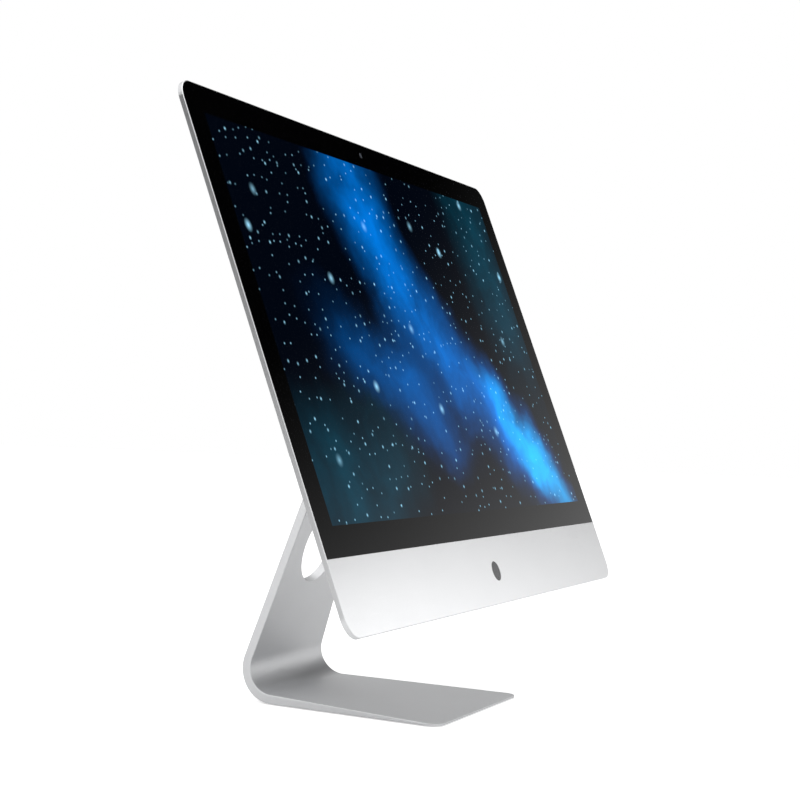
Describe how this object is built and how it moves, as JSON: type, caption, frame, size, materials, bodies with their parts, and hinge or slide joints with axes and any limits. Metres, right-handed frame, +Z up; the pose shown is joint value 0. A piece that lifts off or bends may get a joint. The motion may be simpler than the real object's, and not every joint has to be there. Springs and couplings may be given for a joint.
{
  "type": "all in one pc",
  "caption": "Slim all-in-one computer: a wide thin tilting screen with a metal chin and domed metal back, on a bent metal plate stand with a round cable hole.",
  "frame": {"origin": "centre of the flat foot, on the surface it stands on", "axes": "+Z up, the screen faces -Y, +X to the right of someone facing the screen"},
  "size_m": [0.65, 0.2242, 0.5143],
  "materials": {
    "stand_aluminium": "fine bead-blasted, clear anodised",
    "housing_aluminium": "fine bead-blasted, clear anodised",
    "front_glass": "black-backed cover glass, polished",
    "clear_glass": "clear dark window",
    "badge": "plain polished dark disc",
    "panel_metal": "pressed tray of the display module",
    "adhesive": "foam adhesive tape",
    "pad_rubber": "thin elastomer pad",
    "hinge_steel": "zinc plated steel",
    "black_steel": "black coated steel",
    "bush_brass": "turned brass",
    "screws": "machine screws",
    "black_plastic": "moulded black plastic",
    "grey_plastic": "moulded grey plastic",
    "socket_metal": "folded steel socket shells",
    "circuit_board": "black solder mask",
    "chips": "chip package",
    "copper": "copper heat parts",
    "drive_metal": "cast drive body"
  },
  "bodies": {
    "stand": {"stand_plate": "stand_aluminium", "foot_pad": "pad_rubber", "hinge_barrel": "hinge_steel", "hinge_shaft": "hinge_steel", "arm_screws": "screws", "spring_washers_left": "hinge_steel", "spring_washers_right": "hinge_steel", "shaft_nut_left": "hinge_steel", "shaft_nut_right": "hinge_steel"},
    "memory_door": {"memory_door": "housing_aluminium"},
    "door_button": {"door_button": "grey_plastic"},
    "power_button": {"power_button": "housing_aluminium"},
    "fan_impeller": {"fan_impeller": "black_plastic"},
    "head": {"antennas": "socket_metal", "board_screws": "screws", "camera_module": "black_plastic", "camera_window": "clear_glass", "card_slot": "socket_metal", "chin_badge": "badge", "clock_cell": "socket_metal", "data_ports": "socket_metal", "display_panel": "panel_metal", "drive_bracket": "drive_metal", "drive_screws": "screws", "fan_housing": "black_plastic", "fan_screws": "screws", "fin_stack": "copper", "front_glass": "front_glass", "graphics_chip": "chips", "hard_drive": "drive_metal", "headphone_jack": "black_plastic", "heat_pipe": "copper", "heatsink": "copper", "hinge_bush_left": "bush_brass", "hinge_bush_right": "bush_brass", "hinge_frame": "black_steel", "hinge_screws": "screws", "inlet_pins": "socket_metal", "logic_board": "circuit_board", "memory_cage": "black_plastic", "memory_modules": "circuit_board", "microphone": "socket_metal", "network_port": "socket_metal", "power_inlet": "black_plastic", "power_supply": "drive_metal", "power_switch": "black_plastic", "processor": "chips", "rear_housing": "housing_aluminium", "slot_liner": "black_plastic", "solid_state_drive": "circuit_board", "speaker_left": "black_plastic", "speaker_right": "black_plastic", "supply_screws": "screws", "tape_frame": "adhesive", "usb_ports": "socket_metal", "vent_grille": "black_plastic", "wireless_card": "circuit_board"}
  },
  "joints": [
    {"name": "head_tilt", "type": "hinge", "parent": "stand", "child": "head", "pos_m": [0, 0.02399, 0.31507], "axis": [-1, 0, 0], "range_deg": [-26.2, 3.8]},
    {"name": "power_button_press", "type": "slide", "parent": "head", "child": "power_button", "axis": [0, -0.9323, 0.3616], "range_m": [0, 0.0008], "stiffness_N_per_m": 1500, "springref_m": -0.0005},
    {"name": "door_button_press", "type": "slide", "parent": "head", "child": "door_button", "axis": [0, -0.9323, 0.3616], "range_m": [0, 0.0015], "stiffness_N_per_m": 1200, "springref_m": -0.0006},
    {"name": "memory_door_swing", "type": "hinge", "parent": "head", "child": "memory_door", "pos_m": [0, -0.00781, 0.22959], "axis": [1, 0, 0], "range_deg": [0, 25]},
    {"name": "fan_spin", "type": "hinge", "parent": "head", "child": "fan_impeller", "pos_m": [0.12, -0.00922, 0.30522], "axis": [0, 0.9323, -0.3616], "continuous": true}
  ]
}
